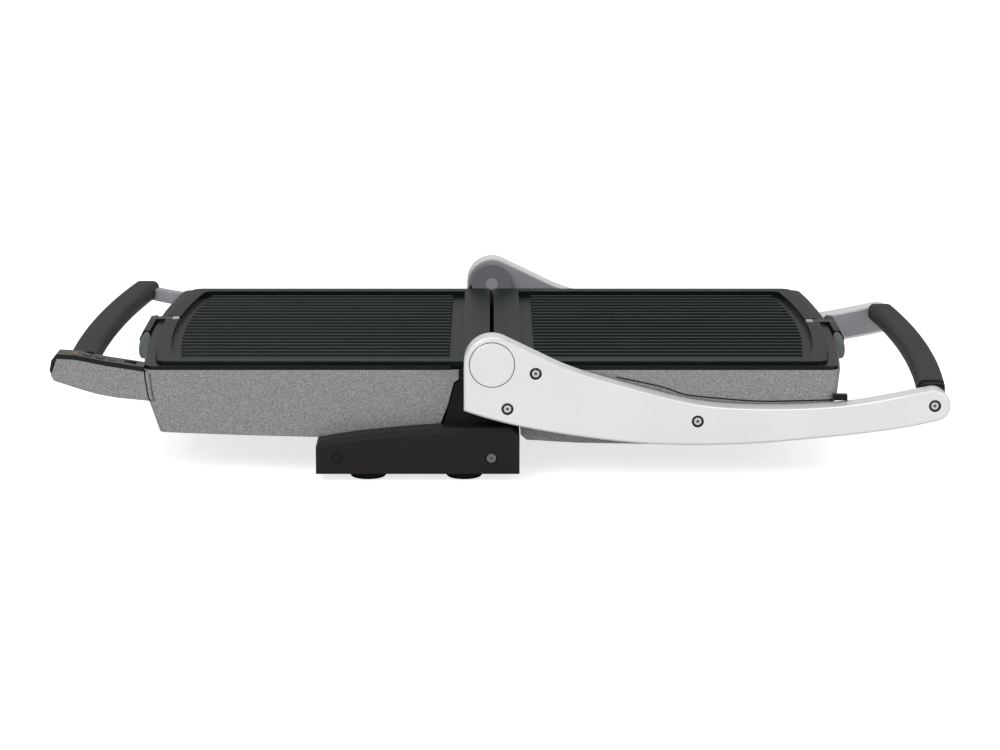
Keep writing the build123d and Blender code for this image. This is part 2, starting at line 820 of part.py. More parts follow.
def make_arm(side, word):
    """One silver arm of the yoke with its inner cover, screws and round hub cap."""
    with BuildPart() as shell:
        extrude(placed(arm_face(), side * arm_inner), amount=-side * arm_thickness)
        rim = faces().sort_by(Axis.Y)[-1 if side > 0 else 0].edges()
        chamfer(rim, arm_edge)
        seat = placed(arm_face(cover_margin), side * arm_inner)
        extrude(seat, amount=-side * cover_thickness, mode=Mode.SUBTRACT)
        extrude(
            placed(arm_face(arm_wall + pin_end_gap), side * (arm_inner + cover_thickness)),
            amount=-side * (arm_thickness - arm_wall - cover_thickness), mode=Mode.SUBTRACT,
        )
        with BuildSketch(side_plane(side * (arm_inner + cover_thickness))):
            with Locations(screw_places):
                Circle(screw_boss_radius)
            Circle(hub_boss_radius)
        extrude(amount=-side * (arm_thickness - arm_wall - cover_thickness))
        with BuildSketch(side_plane(side * (arm_inner + cover_thickness))):
            Circle(hinge_pin_radius + running_clearance)
            with Locations((tilt_x, tilt_height)):
                Circle(tilt_pin_radius + running_clearance)
        extrude(amount=-side * (arm_thickness - arm_wall - cover_thickness - bore_end), mode=Mode.SUBTRACT)
        with BuildSketch(side_plane(side * arm_outer)):
            with Locations(screw_places):
                Circle(screw_recess_radius)
        extrude(amount=side * screw_recess_depth, mode=Mode.SUBTRACT)
    save(shell.part, f"arm_shell_{word}")

    with BuildPart() as cover:
        extrude(placed(arm_face(cover_margin), side * arm_inner), amount=-side * cover_thickness)
        with BuildSketch(side_plane(side * arm_inner)):
            Circle(hinge_pin_radius + running_clearance)
            with Locations((tilt_x, tilt_height)):
                Circle(tilt_pin_radius + running_clearance)
        extrude(amount=-side * cover_thickness, mode=Mode.SUBTRACT)
    save(cover.part, f"arm_cover_{word}")

    with BuildPart() as screws:
        with BuildSketch(side_plane(side * (arm_outer - screw_recess_depth))):
            with Locations(screw_places):
                Circle(screw_head_radius)
        extrude(amount=-side * (screw_recess_depth - screw_head_sink))
    save(screws.part, f"arm_screws_{word}")

    with BuildPart() as cap:
        with BuildSketch(side_plane(side * arm_outer)):
            Circle(hub_cap_radius)
        extrude(amount=-side * hub_cap_thickness)
        fillet(edges().filter_by(GeomType.CIRCLE).sort_by(Axis.Y)[-1 if side > 0 else 0], hub_cap_edge)
    save(cap.part, f"hub_cap_{word}")

    with BuildPart() as tilt_pin:
        with BuildSketch(side_plane(side * housing_half_width)):
            with Locations((tilt_x, tilt_height)):
                Circle(tilt_pin_radius)
        extrude(amount=-side * (pin_end - housing_half_width))
        with BuildSketch(side_plane(side * housing_half_width)):
            with Locations((tilt_x, tilt_height)):
                Circle(tilt_collar_radius)
        extrude(amount=-side * (arm_inner - housing_half_width - washer_gap))
    save(tilt_pin.part, f"tilt_pin_{word}")


for side, word in ((-1, "near"), (1, "far")):
    make_post(side, f"hinge_post_{word}")
    make_hinge_side(side, word)
    make_arm(side, word)


# Grips
def bow_face(unit, outer, width, bow, near_end, far_end, skew=0.0):
    """Sketch a bowed strip in plan, from near_end to far_end, whose far end may be drawn in by a skew."""
    half = max(abs(near_end), abs(far_end))

    def offset_at(y):
        return bow * (1 - (y / half) ** 2) - skew * y / half

    with BuildSketch() as strip:
        with BuildLine():
            ends = [(unit * (outer + offset_at(y)), y) for y in (near_end, 0, far_end)]
            inner = [(unit * (outer - width + offset_at(y)), y) for y in (far_end, 0, near_end)]
            ThreePointArc(*ends)
            Line(ends[-1], inner[0])
            ThreePointArc(*inner)
            Line(inner[-1], ends[0])
        make_face()
    return strip.sketch


with BuildPart() as upper_core:
    core_inset = (grip_width - bar_width) / 2
    extrude(
        level_plane(upper_grip_top - grip_depth / 2 - bar_depth / 2)
        * bow_face(upper, upper_grip_outer - core_inset, bar_width, upper_grip_bow, -arm_inner, arm_inner),
        amount=bar_depth,
    )
save(upper_core.part, "upper_grip_core")

with BuildPart() as upper_grip:
    extrude(
        level_plane(upper_grip_top - grip_depth)
        * bow_face(
            upper, upper_grip_outer, grip_width, upper_grip_bow,
            -upper_grip_half_length, upper_grip_half_length,
        ),
        amount=grip_depth,
    )
    long_edges = edges().filter_by(lambda e: e.length > upper_grip_half_length)
    fillet(long_edges, grip_round)
    add(upper_core.part, mode=Mode.SUBTRACT)
save(upper_grip.part, "upper_grip")

with BuildPart() as collars:
    for y in (-arm_inner, arm_inner):
        with BuildSketch(side_plane(y)):
            collar_x = upper_grip_outer - grip_width / 2 + collar_lead
            with Locations((collar_x, upper_grip_top - grip_depth / 2)):
                RectangleRounded(grip_width - 2 * collar_inset, grip_depth - 2 * collar_inset, collar_corner)
        extrude(amount=(1 if y > 0 else -1) * (collar_length - collar_gap))
    add(upper_core.part, mode=Mode.SUBTRACT)
save(collars.part, "upper_grip_collars")

# Lower handle bar: the far leg from the housing and the bowed cross piece inside the grip
with BuildPart() as handle_bar:
    bar_top = lower_grip_top - (grip_depth - bar_depth) / 2
    cross_outer = lower_grip_outer - (grip_width - bar_width) / 2
    extrude(
        level_plane(bar_top - bar_depth)
        * bow_face(lower, cross_outer, bar_width, lower_grip_bow, bar_near, bar_outer, lower_grip_skew),
        amount=bar_depth,
    )
    with BuildSketch(side_plane(bar_outer)):
        with BuildLine():
            knee_x = -(housing_front_middle + leg_knee[0])
            root_x = -(housing_front_middle + leg_root[0])
            tip = leg_overlap + lower_grip_skew - cross_outer
            Polyline(
                (tip, bar_top), (knee_x, leg_knee[1]), (root_x, leg_root[1]),
                (root_x, leg_root[1] - leg_depth), (knee_x, leg_knee[1] - leg_depth),
                (tip, bar_top - bar_depth), close=True,
            )
        make_face()
    extrude(amount=bar_width)
    add(lower_block, mode=Mode.SUBTRACT)
    add(lower_frame, mode=Mode.SUBTRACT)
save(handle_bar.part, "lower_handle_bar")

with BuildPart() as lower_grip:
    extrude(
        level_plane(lower_grip_top - grip_depth)
        * bow_face(
            lower, lower_grip_outer, grip_width, lower_grip_bow, lower_grip_near, lower_grip_far,
            lower_grip_skew,
        ),
        amount=grip_depth,
    )
    long_edges = edges().filter_by(lambda e: e.length > upper_grip_half_length)
    fillet(long_edges, grip_round)
    add(handle_bar.part, mode=Mode.SUBTRACT)
save(lower_grip.part, "lower_grip")

# Control pod on the near side of the lower handle
def past_corner(points):
    """Points of the lower unit's side view from distances past its housing's front corner."""
    return [(lower * (housing_front_corner + x), z) for x, z in points]


deck_under_nose = [(x - deck_nose_inset, z - deck_thickness) for x, z in deck_nose[:2]]
deck_under_rise = [(x, z - deck_thickness) for x, z in deck_nose[2:] + deck_rise]
deck_outline = past_corner(deck_nose + deck_rise + (deck_under_nose + deck_under_rise)[::-1])
pod_tip = (deck_nose[0][0] - pod_lip, deck_nose[0][1] - deck_thickness)
pod_shoulder = (pod_root, deck_under_rise[-1][1] - pod_root_drop)
pod_outline = past_corner([pod_tip, *deck_under_rise, pod_shoulder, *pod_bottom[::-1]])

with BuildPart() as pod:
    with BuildSketch(side_plane(pod_far)):
        with BuildLine():
            Polyline(pod_outline, close=True)
        make_face()
    extrude(amount=pod_width)
    with BuildSketch(side_plane(pod_far - pod_wall)):
        with BuildLine():
            Polyline(pod_outline, close=True)
        make_face()
        offset(amount=-pod_wall, kind=Kind.INTERSECTION)
        with Locations(past_corner([pod_mouth_place])):
            Rectangle(pod_mouth_length, pod_mouth_height, rotation=-pod_mouth_tilt_deg)
    extrude(amount=pod_width - 2 * pod_wall, mode=Mode.SUBTRACT)
    for neighbour in (lower_block, lower_frame, handle_bar.part, lower_grip.part):
        add(neighbour, mode=Mode.SUBTRACT)
save(pod.part, "control_pod")

# Controls in the deck
slope_top, slope_foot = deck_rise[0], deck_rise[1]
deck_slope = (slope_top[1] - slope_foot[1]) / (slope_top[0] - slope_foot[0])


def deck_plane(place, rise=0.0):
    """A plane in the sloping deck's top at a place past the housing's corner, or above it by a rise."""
    height = slope_foot[1] + (place - slope_foot[0]) * deck_slope
    origin = (hinge_x - housing_front_corner - place, pod_near + pod_width / 2, hinge_height + height)
    return Plane(origin=origin, x_dir=(-1, 0, deck_slope), z_dir=(deck_slope, 0, 1)).offset(rise)


with BuildPart() as deck:
    with BuildSketch(side_plane(pod_far)):
        with BuildLine():
            Polyline(deck_outline, close=True)
        make_face()
    extrude(amount=pod_width)
    for neighbour in (pod.part, lower_block, lower_frame, handle_bar.part, lower_grip.part):
        add(neighbour, mode=Mode.SUBTRACT)
    for place in button_places:
        with BuildSketch(deck_plane(place, cut_overrun)):
            Circle(button_radius + button_gap)
        extrude(amount=-(deck_thickness + 3 * cut_overrun), mode=Mode.SUBTRACT)
    with BuildSketch(deck_plane(window_place, cut_overrun)):
        RectangleRounded(window_length, window_width, window_corner)
    extrude(amount=-(window_thickness + cut_overrun), mode=Mode.SUBTRACT)
    with BuildSketch(deck_plane(lamp_place, cut_overrun)):
        Circle(lamp_radius)
    extrude(amount=-(window_thickness + cut_overrun), mode=Mode.SUBTRACT)
save(deck.part, "pod_deck")

for place, name in zip(button_places, ("button_power", "button_mode", "button_heat")):
    with BuildPart() as button:
        with BuildSketch(deck_plane(place, button_proud)):
            Circle(button_radius)
        extrude(amount=-(deck_thickness - button_travel))
        fillet(edges().filter_by(GeomType.CIRCLE).sort_by(Axis.Z)[-1], button_edge)
    save(button.part, name)

with BuildPart() as window:
    with BuildSketch(deck_plane(window_place)):
        RectangleRounded(window_length, window_width, window_corner)
    extrude(amount=-window_thickness)
save(window.part, "display_window")

with BuildPart() as lamp:
    with BuildSketch(deck_plane(lamp_place)):
        Circle(lamp_radius)
    extrude(amount=-window_thickness)
save(lamp.part, "lamp_lens")

with BuildPart() as board:
    with BuildSketch(side_plane(pod_near + pod_wall + board_thickness)):
        with Locations(past_corner([board_place])):
            Rectangle(board_length, board_height)
    extrude(amount=board_thickness)
save(board.part, "control_board")

# Thermostat and thermal fuse on the undersides of the reflectors
for unit, name in ((lower, "lower_thermostat"), (upper, "upper_thermal_fuse")):
    with BuildPart() as sensor:
        with BuildSketch(level_plane(pan_bottom)):
            with Locations((unit * sensor_x, 0)):
                RectangleRounded(sensor_length, sensor_width, sensor_corner)
        extrude(amount=-sensor_height)
    save(sensor.part, name)

# Stop tabs on the front corners of the upper unit, which rest on the yoke arms
with BuildPart() as tabs:
    for side in (-1, 1):
        with BuildSketch(side_plane(side * housing_half_width)):
            tab_middle = housing_front_corner - tab_front_inset - tab_length / 2
            with Locations((tab_middle, (tab_top + tab_bottom) / 2)):
                Rectangle(tab_length, tab_top - tab_bottom)
        extrude(amount=-side * tab_reach)
save(tabs.part, "tilt_stop_tabs")
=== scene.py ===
import math

import bmesh
import bpy
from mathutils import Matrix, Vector


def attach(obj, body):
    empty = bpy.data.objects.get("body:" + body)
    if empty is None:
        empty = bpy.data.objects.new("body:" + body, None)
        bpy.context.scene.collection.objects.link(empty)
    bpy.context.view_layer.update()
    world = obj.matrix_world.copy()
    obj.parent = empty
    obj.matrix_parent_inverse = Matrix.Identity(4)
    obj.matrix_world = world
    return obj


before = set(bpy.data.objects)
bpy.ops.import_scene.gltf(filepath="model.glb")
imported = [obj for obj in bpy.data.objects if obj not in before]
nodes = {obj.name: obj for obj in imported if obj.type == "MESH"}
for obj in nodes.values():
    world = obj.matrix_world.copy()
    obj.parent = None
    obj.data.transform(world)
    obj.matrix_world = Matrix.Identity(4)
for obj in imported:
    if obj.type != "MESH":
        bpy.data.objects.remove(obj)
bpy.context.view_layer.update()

# Hinge axis, from which places in the side view are measured, in metres
hinge_x = -0.0078
hinge_height = 0.086

# Sizes of the modelled grill that the trim and the marks are fitted to
housing_side = 0.152
arm_outer = 0.1725
hub_cap_radius = 0.0158
hub_radius = 0.0162
recess_radius = 0.0043
socket_radius = 0.0011
arm_screw_places = [(0.031, -0.0064), (0.011, -0.032), (0.1463, -0.041), (0.3146, -0.0298)]
base_screw_places = [(-0.0004, -0.0686)]
hub_place = (0.0, 0.0)
clip_bare_reach = 0.2455

# Seams of the housings
seam_width = 0.0012
seam_rise = 0.00012
seam_top_share = 0.7
seam_path_steps = 6
upper_seam = [
    (0.0889, -0.0130), (0.1204, -0.0199), (0.1383, -0.0257), (0.1569, -0.0280), (0.1935, -0.0307),
    (0.2440, -0.0297),
]
pod_seam = [(-0.2487, -0.0082), (-0.2480, -0.0150), (-0.2462, -0.0270), (-0.2447, -0.0308)]

# Rings round the hub caps; the standoff is a share of the wire's radius
ring_wire_radius = 0.00032
ring_standoff = 0.8
ring_segments = 72
ring_corners = 8

# Camera: a long lens, a little above the grill, square to its side
image_width = 1000
sensor_width = 36.0
lens_pixels = 3110.0
camera_x = -0.0092
camera_y = -2.328
camera_height = 0.5358
camera_pitch_deg = 11.97
vanishing_pixel = 490.0

# Light: the surround, the floor and the lamps, each lamp with its place, size and power
surround_strength = 0.44
backdrop_strength = 1.0
floor_colour = (0.72, 0.72, 0.72)
floor_glow = 0.74
floor_corners = [(-9.0, -6.0, 0.0), (9.0, -6.0, 0.0), (9.0, 16.0, 0.0), (-9.0, 16.0, 0.0)]
softboxes = {
    "key_softbox": ((-1.1, -1.8, 1.6), 1.4, 30.0),
    "fill_softbox": ((1.5, -1.6, 0.9), 1.4, 14.0),
    "top_softbox": ((0.0, 0.6, 1.9), 1.6, 14.0),
}

# Moulded materials: colour, roughness, grain scale, grain depth in metres, specular level, coat
moulded_looks = {
    "frame_black": ((0.0075, 0.0065, 0.0062), 0.34, 900.0, 0.00005, 0.18, 0.0),
    "pedestal_black": ((0.0115, 0.0095, 0.0095), 0.45, 1100.0, 0.00006, 0.2, 0.0),
    "post_black": ((0.010, 0.0085, 0.0085), 0.5, 900.0, 0.00006, 0.14, 0.0),
    "latch_black": ((0.007, 0.0075, 0.0075), 0.35, 900.0, 0.00005, 0.2, 0.0),
    "seam_black": ((0.006, 0.006, 0.006), 0.6, 900.0, 0.00002, 0.14, 0.0),
    "grip_soft_touch": ((0.017, 0.0155, 0.015), 0.5, 1600.0, 0.00005, 0.22, 0.0),
    "foot_rubber": ((0.009, 0.009, 0.009), 0.8, 800.0, 0.0001, 0.14, 0.0),
    "deck_gloss": ((0.006, 0.0055, 0.0055), 0.2, 400.0, 0.00001, 0.2, 0.15),
    "cap_grey": ((0.15, 0.165, 0.165), 0.42, 900.0, 0.00004, 0.3, 0.0),
    "board_green": ((0.02, 0.12, 0.05), 0.4, 300.0, 0.00002, 0.14, 0.0),
    "lamp_amber": ((0.30, 0.10, 0.02), 0.2, 200.0, 0.00001, 0.3, 0.3),
}

# Brushed metals: colour, metallic, roughness, stretch of the lines, softening of the edges in metres
brushed_looks = {
    "silver_satin": ((0.82, 0.82, 0.82), 0.35, 0.32, (0.05, 1.0, 1.0), 0.0012),
    "grey_satin": ((0.36, 0.36, 0.39), 0.35, 0.42, (0.05, 1.0, 1.0), 0.0006),
    "bright_steel": ((0.55, 0.55, 0.56), 0.9, 0.3, (1.0, 1.0, 0.2), 0.0006),
    "sheet_steel": ((0.40, 0.40, 0.41), 0.9, 0.4, (1.0, 0.1, 1.0), 0.0006),
    "arm_screw_steel": ((0.70, 0.70, 0.70), 0.85, 0.25, (1.0, 1.0, 0.2), 0.0004),
    "base_screw_steel": ((0.18, 0.18, 0.18), 0.85, 0.25, (1.0, 1.0, 0.2), 0.0004),
    "lower_clip_steel": ((0.62, 0.63, 0.64), 0.8, 0.3, (1.0, 1.0, 0.2), 0.0004),
    "upper_clip_steel": ((0.62, 0.63, 0.64), 0.8, 0.3, (1.0, 1.0, 0.2), 0.0004),
    "ring_steel": ((0.12, 0.12, 0.12), 0.9, 0.3, (1.0, 1.0, 1.0), 0.0001),
}

# Shades of one colour that a surface wanders between
plastic_shades = (0.88, 1.12)
metal_shades = (0.96, 1.03)

# Marks on the metals and on the hinge posts
# Painted shade: black inside the arm's screw recesses
recess_painted_shade = (0.02, 0.02, 0.02)
# Painted shade: dark grey inside the screw heads' sockets
socket_painted_shade = (0.10, 0.10, 0.10)
hub_cover_grey = (0.16, 0.165, 0.175)
# Painted shade: near-black on the clips where they run under the rim
clip_painted_shade = (0.012, 0.012, 0.012)

# Paint of the housings, and coating of the plates
flake_tones = [(0.34, (0.175, 0.174, 0.173)), (0.5, (0.262, 0.261, 0.259)), (0.66, (0.37, 0.369, 0.367))]
cloud_grey = (0.30, 0.30, 0.30)
coating_tones = [(0.3, (0.0035, 0.0065, 0.0070)), (0.7, (0.0060, 0.0100, 0.0105))]

# The nodes that wear each material
wearers = {
    "silver_satin": ["arm_shell_near", "arm_shell_far", "hub_cap_near", "hub_cap_far"],
    "grey_satin": [
        "arm_cover_near", "arm_cover_far", "lower_handle_bar", "hinge_pin_near", "hinge_pin_far",
    ],
    "grey_flake_paint": ["lower_housing", "upper_housing", "control_pod"],
    "plate_coating": ["lower_grill_plate", "upper_grill_plate"],
    "frame_black": ["lower_rim_frame", "upper_rim_frame", "tilt_stop_tabs"],
    "pedestal_black": ["base_shell", "power_inlet", "terminal_block"],
    "post_black": ["hinge_post_near", "hinge_post_far"],
    "grip_soft_touch": ["upper_grip", "lower_grip"],
    "foot_rubber": ["rubber_feet"],
    "deck_gloss": ["pod_deck", "display_window", "button_power", "button_mode", "button_heat"],
    "latch_black": [
        "lower_latch_bracket", "upper_latch_bracket", "lower_latch_lever", "upper_latch_lever",
        "lower_thermostat", "upper_thermal_fuse", "upper_grip_collars", "upper_grip_core",
    ],
    "cap_grey": ["lower_latch_caps", "upper_latch_caps"],
    "board_green": ["control_board"],
    "lamp_amber": ["lamp_lens"],
    "arm_screw_steel": ["arm_screws_near", "arm_screws_far"],
    "base_screw_steel": ["base_side_screws"],
    "lower_clip_steel": ["lower_latch_clip"],
    "upper_clip_steel": ["upper_latch_clip"],
    "bright_steel": [
        "hinge_washer_near", "hinge_washer_far", "tilt_pin_near", "tilt_pin_far", "base_screws",
        "lower_latch_pin", "upper_latch_pin", "inlet_blades", "lower_heating_element",
        "upper_heating_element",
    ],
    "sheet_steel": ["base_plate", "lower_reflector", "upper_reflector"],
}


def node_tree(material):
    """The material's node tree, cleared down to one shader and its output."""
    material.use_nodes = True
    tree = material.node_tree
    tree.nodes.clear()
    output = tree.nodes.new("ShaderNodeOutputMaterial")
    shader = tree.nodes.new("ShaderNodeBsdfPrincipled")
    tree.links.new(shader.outputs["BSDF"], output.inputs["Surface"])
    return tree, shader


def find_node(tree, kind):
    """The tree's first node of a kind."""
    return next(node for node in tree.nodes if node.type == kind)


def object_coordinates(tree, scale=(1.0, 1.0, 1.0)):
    """Object coordinates, stretched by a scale."""
    coordinates = tree.nodes.new("ShaderNodeTexCoord")
    mapping = tree.nodes.new("ShaderNodeMapping")
    mapping.inputs["Scale"].default_value = scale
    tree.links.new(coordinates.outputs["Object"], mapping.inputs["Vector"])
    return mapping.outputs["Vector"]


def noise(tree, vector, scale, detail, roughness=0.5):
    """A noise value between 0 and 1."""
    texture = tree.nodes.new("ShaderNodeTexNoise")
    texture.inputs["Scale"].default_value = scale
    texture.inputs["Detail"].default_value = detail
    texture.inputs["Roughness"].default_value = roughness
    tree.links.new(vector, texture.inputs["Vector"])
    return texture.outputs["Fac"]


def ramp(tree, value, stops):
    """A colour ramp over a value; stops are (position, colour) pairs."""
    node = tree.nodes.new("ShaderNodeValToRGB")
    elements = node.color_ramp.elements
    while len(elements) < len(stops):
        elements.new(0.5)
    for element, (position, colour) in zip(elements, stops):
        element.position = position
        element.color = (*colour, 1.0)
    tree.links.new(value, node.inputs["Fac"])
    return node.outputs["Color"]


def spread(tree, value, low, high):
    """A value from 0..1 spread over low..high."""
    node = tree.nodes.new("ShaderNodeMapRange")
    node.inputs["To Min"].default_value = low
    node.inputs["To Max"].default_value = high
    tree.links.new(value, node.inputs["Value"])
    return node.outputs["Result"]


def math_node(tree, operation, *values):
    """A math node over sockets or constants."""
    node = tree.nodes.new("ShaderNodeMath")
    node.operation = operation
    for socket, value in zip(node.inputs, values):
        if isinstance(value, (int, float)):
            socket.default_value = value
        else:
            tree.links.new(value, socket)
    return node.outputs["Value"]


def mix_colour(tree, mask, first, second):
    """The first colour where the mask is 0 and the second where it is 1."""
    node = tree.nodes.new("ShaderNodeMix")
    node.data_type = "RGBA"
    tree.links.new(mask, node.inputs["Factor"])
    for socket, colour in ((node.inputs["A"], first), (node.inputs["B"], second)):
        if isinstance(colour, tuple):
            socket.default_value = (*colour, 1.0)
        else:
            tree.links.new(colour, socket)
    return node.outputs["Result"]


def split_for_camera(tree, others, camera):
    """One shader for the camera's own rays and another for all other rays."""
    path = tree.nodes.new("ShaderNodeLightPath")
    seen = tree.nodes.new("ShaderNodeMixShader")
    tree.links.new(path.outputs["Is Camera Ray"], seen.inputs["Fac"])
    tree.links.new(others, seen.inputs[1])
    tree.links.new(camera, seen.inputs[2])
    return seen.outputs["Shader"]


def side_offsets(tree, node, place):
    """Distances along X and Z, in the side view, from a place given from the hinge axis."""
    world = Vector((hinge_x + place[0], 0.0, hinge_height + place[1]))
    origin = nodes[node].matrix_world.inverted() @ world
    coordinates = tree.nodes.new("ShaderNodeTexCoord")
    parts = tree.nodes.new("ShaderNodeSeparateXYZ")
    tree.links.new(coordinates.outputs["Object"], parts.inputs["Vector"])
    across = math_node(tree, "SUBTRACT", parts.outputs["X"], origin.x)
    up = math_node(tree, "SUBTRACT", parts.outputs["Z"], origin.z)
    return across, up


def disc_mask(tree, node, place, radius):
    """1 within a radius of a place in the side view, and 0 elsewhere."""
    across, up = side_offsets(tree, node, place)
    across_squared = math_node(tree, "MULTIPLY", across, across)
    up_squared = math_node(tree, "MULTIPLY", up, up)
    squared = math_node(tree, "ADD", across_squared, up_squared)
    return math_node(tree, "LESS_THAN", squared, radius * radius)


def surface_relief(tree, shader, height, strength, distance, edge):
    """A bump over edges that are softened by a bevel."""
    bevel = tree.nodes.new("ShaderNodeBevel")
    bevel.samples = 4
    bevel.inputs["Radius"].default_value = edge
    node = tree.nodes.new("ShaderNodeBump")
    node.inputs["Strength"].default_value = strength
    node.inputs["Distance"].default_value = distance
    tree.links.new(height, node.inputs["Height"])
    tree.links.new(bevel.outputs["Normal"], node.inputs["Normal"])
    tree.links.new(node.outputs["Normal"], shader.inputs["Normal"])


def shade(colour, factor):
    """A colour made darker or lighter."""
    return tuple(min(1.0, channel * factor) for channel in colour)


def mottled(tree, cloud, ends, colour, shades):
    """A colour that wanders between two shades of itself."""
    return ramp(tree, cloud, [(end, shade(colour, factor)) for end, factor in zip(ends, shades)])


def moulded(name):
    """Moulded plastic or rubber: a fine grain and slightly uneven colour and gloss."""
    colour, roughness, grain_scale, grain_depth, specular, coat = moulded_looks[name]
    material = bpy.data.materials.new(name)
    tree, shader = node_tree(material)
    vector = object_coordinates(tree)
    cloud = noise(tree, vector, scale=35.0, detail=3.0)
    grain = noise(tree, vector, scale=grain_scale, detail=3.0, roughness=0.6)
    tone = mottled(tree, cloud, (0.3, 0.7), colour, plastic_shades)
    tree.links.new(tone, shader.inputs["Base Color"])
    gloss = spread(tree, grain, low=roughness - 0.06, high=roughness + 0.08)
    tree.links.new(gloss, shader.inputs["Roughness"])
    shader.inputs["Specular IOR Level"].default_value = specular
    shader.inputs["Coat Weight"].default_value = coat
    shader.inputs["Coat Roughness"].default_value = 0.12
    surface_relief(tree, shader, grain, strength=0.35, distance=grain_depth, edge=0.0006)
    return material


def brushed(name):
    """Metal with fine lines along one direction."""
    colour, metallic, roughness, stretch, edge = brushed_looks[name]
    material = bpy.data.materials.new(name)
    tree, shader = node_tree(material)
    lines = noise(tree, object_coordinates(tree, stretch), scale=900.0, detail=2.0, roughness=0.6)
    cloud = noise(tree, object_coordinates(tree), scale=22.0, detail=3.0)
    tone = mottled(tree, cloud, (0.25, 0.75), colour, metal_shades)
    tree.links.new(tone, shader.inputs["Base Color"])
    shader.inputs["Metallic"].default_value = metallic
    gloss = spread(tree, lines, low=roughness - 0.05, high=roughness + 0.07)
    tree.links.new(gloss, shader.inputs["Roughness"])
    surface_relief(tree, shader, lines, strength=0.1, distance=0.00003, edge=edge)
    return material


def metallic_paint(name):
    """Speckled metallic paint: light and dark flakes of under a millimetre."""
    material = bpy.data.materials.new(name)
    tree, shader = node_tree(material)
    vector = object_coordinates(tree)
    flakes = noise(tree, vector, scale=850.0, detail=2.0, roughness=0.7)
    cloud = noise(tree, vector, scale=12.0, detail=3.0)
    speckle = ramp(tree, flakes, flake_tones)
    clouded = mix_colour(tree, spread(tree, cloud, low=0.0, high=0.12), speckle, cloud_grey)
    tree.links.new(clouded, shader.inputs["Base Color"])
    shader.inputs["Metallic"].default_value = 0.3
    shader.inputs["Specular IOR Level"].default_value = 0.35
    tree.links.new(spread(tree, flakes, low=0.42, high=0.58), shader.inputs["Roughness"])
    surface_relief(tree, shader, flakes, strength=0.2, distance=0.00006, edge=0.0010)
    return material


def plate_coating(name):
    """Dark non-stick coating on cast metal: a fine orange-peel surface with a soft gloss."""
    material = bpy.data.materials.new(name)
    tree, shader = node_tree(material)
    vector = object_coordinates(tree)
    peel = noise(tree, vector, scale=700.0, detail=3.0, roughness=0.6)
    cloud = noise(tree, vector, scale=18.0, detail=3.0)
    tree.links.new(ramp(tree, cloud, coating_tones), shader.inputs["Base Color"])
    shader.inputs["Specular IOR Level"].default_value = 0.10
    tree.links.new(spread(tree, peel, low=0.26, high=0.42), shader.inputs["Roughness"])
    surface_relief(tree, shader, peel, strength=0.25, distance=0.0001, edge=0.0009)
    return material


def recolour(material, mask, colour):
    """Give a material another base colour where a mask is 1."""
    tree = material.node_tree
    socket = find_node(tree, "BSDF_PRINCIPLED").inputs["Base Color"]
    base = socket.links[0].from_socket
    tree.links.new(mix_colour(tree, mask, base, colour), socket)


def mark_discs(material, node, places, radius, colour):
    """Colour round marks at places in the side view."""
    tree = material.node_tree
    masks = [disc_mask(tree, node, place, radius) for place in places]
    total = masks[0]
    for mask in masks[1:]:
        total = math_node(tree, "MAXIMUM", total, mask)
    recolour(material, total, colour)


def paint_clip_shade(material, node, side):
    """Painted shade: darken a spring clip up to its hook, where the rim covers and shades it."""
    tree = material.node_tree
    across = side_offsets(tree, node, hub_place)[0]
    reach = math_node(tree, "MULTIPLY", across, side)
    recolour(material, math_node(tree, "GREATER_THAN", reach, clip_bare_reach), clip_painted_shade)


def make_looks():
    """Every material by its name."""
    looks = {name: moulded(name) for name in moulded_looks}
    looks.update({name: brushed(name) for name in brushed_looks})
    looks["grey_flake_paint"] = metallic_paint("grey_flake_paint")
    looks["plate_coating"] = plate_coating("plate_coating")
    # Black discs painted as shade inside the arm's screw recesses
    mark_discs(looks["silver_satin"], "arm_shell_near", arm_screw_places, recess_radius, recess_painted_shade)
    # Grey discs painted as shade inside the sockets of the arm and base screws
    mark_discs(looks["arm_screw_steel"], "arm_screws_near", arm_screw_places, socket_radius, socket_painted_shade)
    mark_discs(looks["base_screw_steel"], "base_side_screws", base_screw_places, socket_radius, socket_painted_shade)
    mark_discs(looks["post_black"], "hinge_post_far", [hub_place], hub_radius, hub_cover_grey)
    # Shade painted on the clips where they run under the rim
    paint_clip_shade(looks["lower_clip_steel"], "lower_latch_clip", side=-1.0)
    paint_clip_shade(looks["upper_clip_steel"], "upper_latch_clip", side=1.0)
    return looks


def dress(node, material):
    """Give a CAD node a material and smooth shading between its facets."""
    piece = nodes[node]
    piece.data.materials.clear()
    piece.data.materials.append(material)
    for polygon in piece.data.polygons:
        polygon.use_smooth = True
    smooth = piece.modifiers.new("weighted_normals", "WEIGHTED_NORMAL")
    smooth.keep_sharp = True


def surface_mesh(name, rows, closed):
    """A mesh through rows of points; a closed one joins its last row and column to the first."""
    build = bmesh.new()
    grid = [[build.verts.new(place) for place in row] for row in rows]
    following_rows = grid[1:] + grid[:1] if closed else grid[1:]
    for row, following in zip(grid, following_rows):
        for left in range(len(row) if closed else len(row) - 1):
            right = (left + 1) % len(row)
            face = build.faces.new((row[left], row[right], following[right], following[left]))
            face.smooth = closed
    bmesh.ops.recalc_face_normals(build, faces=build.faces)
    mesh = bpy.data.meshes.new(name)
    build.to_mesh(mesh)
    build.free()
    return mesh


def link_mesh(name, mesh, material, body):
    """Put a mesh in the scene as a piece that rides on a body."""
    piece = bpy.data.objects.new(name, mesh)
    mesh.materials.append(material)
    bpy.context.scene.collection.objects.link(piece)
    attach(piece, body)


def curve_value(before, start, stop, after, t):
    """A Catmull-Rom curve's value at t, on its way from start to stop."""
    slope = (stop - before) * t
    bend = (2 * before - 5 * start + 4 * stop - after) * t * t
    twist = (3 * start - before - 3 * stop + after) * t ** 3
    return 0.5 * (2 * start + slope + bend + twist)


